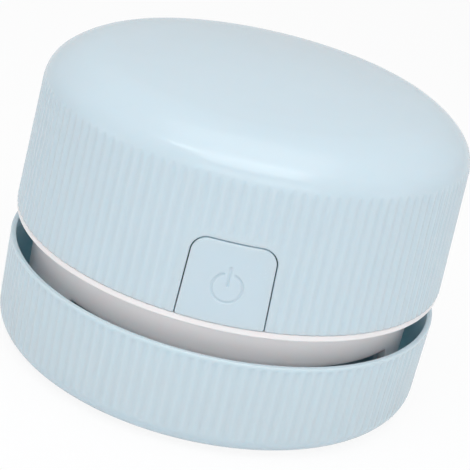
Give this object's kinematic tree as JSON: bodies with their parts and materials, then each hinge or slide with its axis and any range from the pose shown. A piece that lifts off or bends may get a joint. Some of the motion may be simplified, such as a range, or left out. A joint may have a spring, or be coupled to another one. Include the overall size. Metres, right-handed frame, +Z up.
{
  "type": "desktop mini vacuum cleaner",
  "caption": "Round, ribbed desk vacuum: a domed motor head with a flush power button lifts off a dust base with crescent air slots, a lift-out filter and a brushed suction mouth underneath.",
  "frame": {"origin": "middle of the footprint, on the table, on the cleaner's own axis", "axes": "+Z up along the cleaner's axis; -Y towards the power button"},
  "size_m": [0.0864, 0.0864, 0.0625],
  "materials": {
    "shell_blue": "smooth pale blue, light sheen",
    "button_blue": "smooth pale blue, light sheen",
    "trim_white": "warm white",
    "cup_blue": "pale blue, fine grain",
    "frame_white": "white, fine grain",
    "mesh_white": "fine woven nylon",
    "seal_grey": "soft, matt",
    "bristle_grey": "nylon bristles",
    "feet_rubber": "soft, matt",
    "screw_steel": "zinc plated",
    "fan_grey": "dark grey nylon",
    "motor_steel": "drawn steel",
    "motor_cap_white": "ivory nylon",
    "bush_bronze": "sintered bronze",
    "magnet_grey": "ferrite",
    "terminal_brass": "tinned brass",
    "shaft_steel": "ground steel",
    "armature_iron": "laminated core",
    "cell_wrap": "heat-shrink sleeve",
    "holder_black": "black, fine grain",
    "tab_nickel": "nickel",
    "board_green": "solder resist",
    "plunger_white": "white acetal",
    "lead_red": "PVC insulation",
    "lead_black": "PVC insulation"
  },
  "bodies": {
    "base": {"base_shell": "shell_blue", "dust_cup": "cup_blue", "brush_plate": "frame_white", "brush_tufts": "bristle_grey", "glide_feet": "feet_rubber", "base_screws": "screw_steel"},
    "filter_unit": {"filter_frame": "frame_white", "filter_mesh": "mesh_white", "seal_ring": "seal_grey"},
    "head": {"top_shell": "shell_blue", "neck_chassis": "trim_white", "chassis_screws": "screw_steel", "fan_shroud": "frame_white", "shroud_screws": "screw_steel", "motor_can": "motor_steel", "motor_end_cap": "motor_cap_white", "motor_bushes": "bush_bronze", "motor_magnets": "magnet_grey", "motor_terminals": "terminal_brass", "motor_screws": "screw_steel", "battery_cell": "cell_wrap", "battery_holder": "holder_black", "battery_tabs": "tab_nickel", "charge_board": "board_green", "board_screws": "screw_steel", "usb_socket": "tab_nickel", "usb_tongue": "holder_black", "switch_board": "board_green", "switch_body": "holder_black", "leads_red": "lead_red", "leads_black": "lead_black"},
    "rotor": {"impeller": "fan_grey", "motor_shaft": "shaft_steel", "motor_armature": "armature_iron"},
    "button": {"power_button": "button_blue"},
    "plunger": {"switch_plunger": "plunger_white"}
  },
  "joints": [
    {"name": "filter_lift", "type": "slide", "parent": "base", "child": "filter_unit", "axis": [0, 0, 1], "range_m": [0, 0.03]},
    {"name": "head_lift", "type": "slide", "parent": "filter_unit", "child": "head", "axis": [0, 0, 1], "range_m": [0, 0.05]},
    {"name": "rotor_spin", "type": "hinge", "parent": "head", "child": "rotor", "pos_m": [0, 0, 0.022], "axis": [0, 0, 1], "continuous": true},
    {"name": "button_press", "type": "slide", "parent": "head", "child": "button", "axis": [0, 1, 0], "range_m": [0, 0.001], "stiffness_N_per_m": 400},
    {"name": "plunger_press", "type": "slide", "parent": "head", "child": "plunger", "axis": [0, 1, 0], "range_m": [0, 0.001]}
  ],
  "couplings": [
    {"joint": "plunger_press", "follows": "button_press", "ratio": 1}
  ]
}
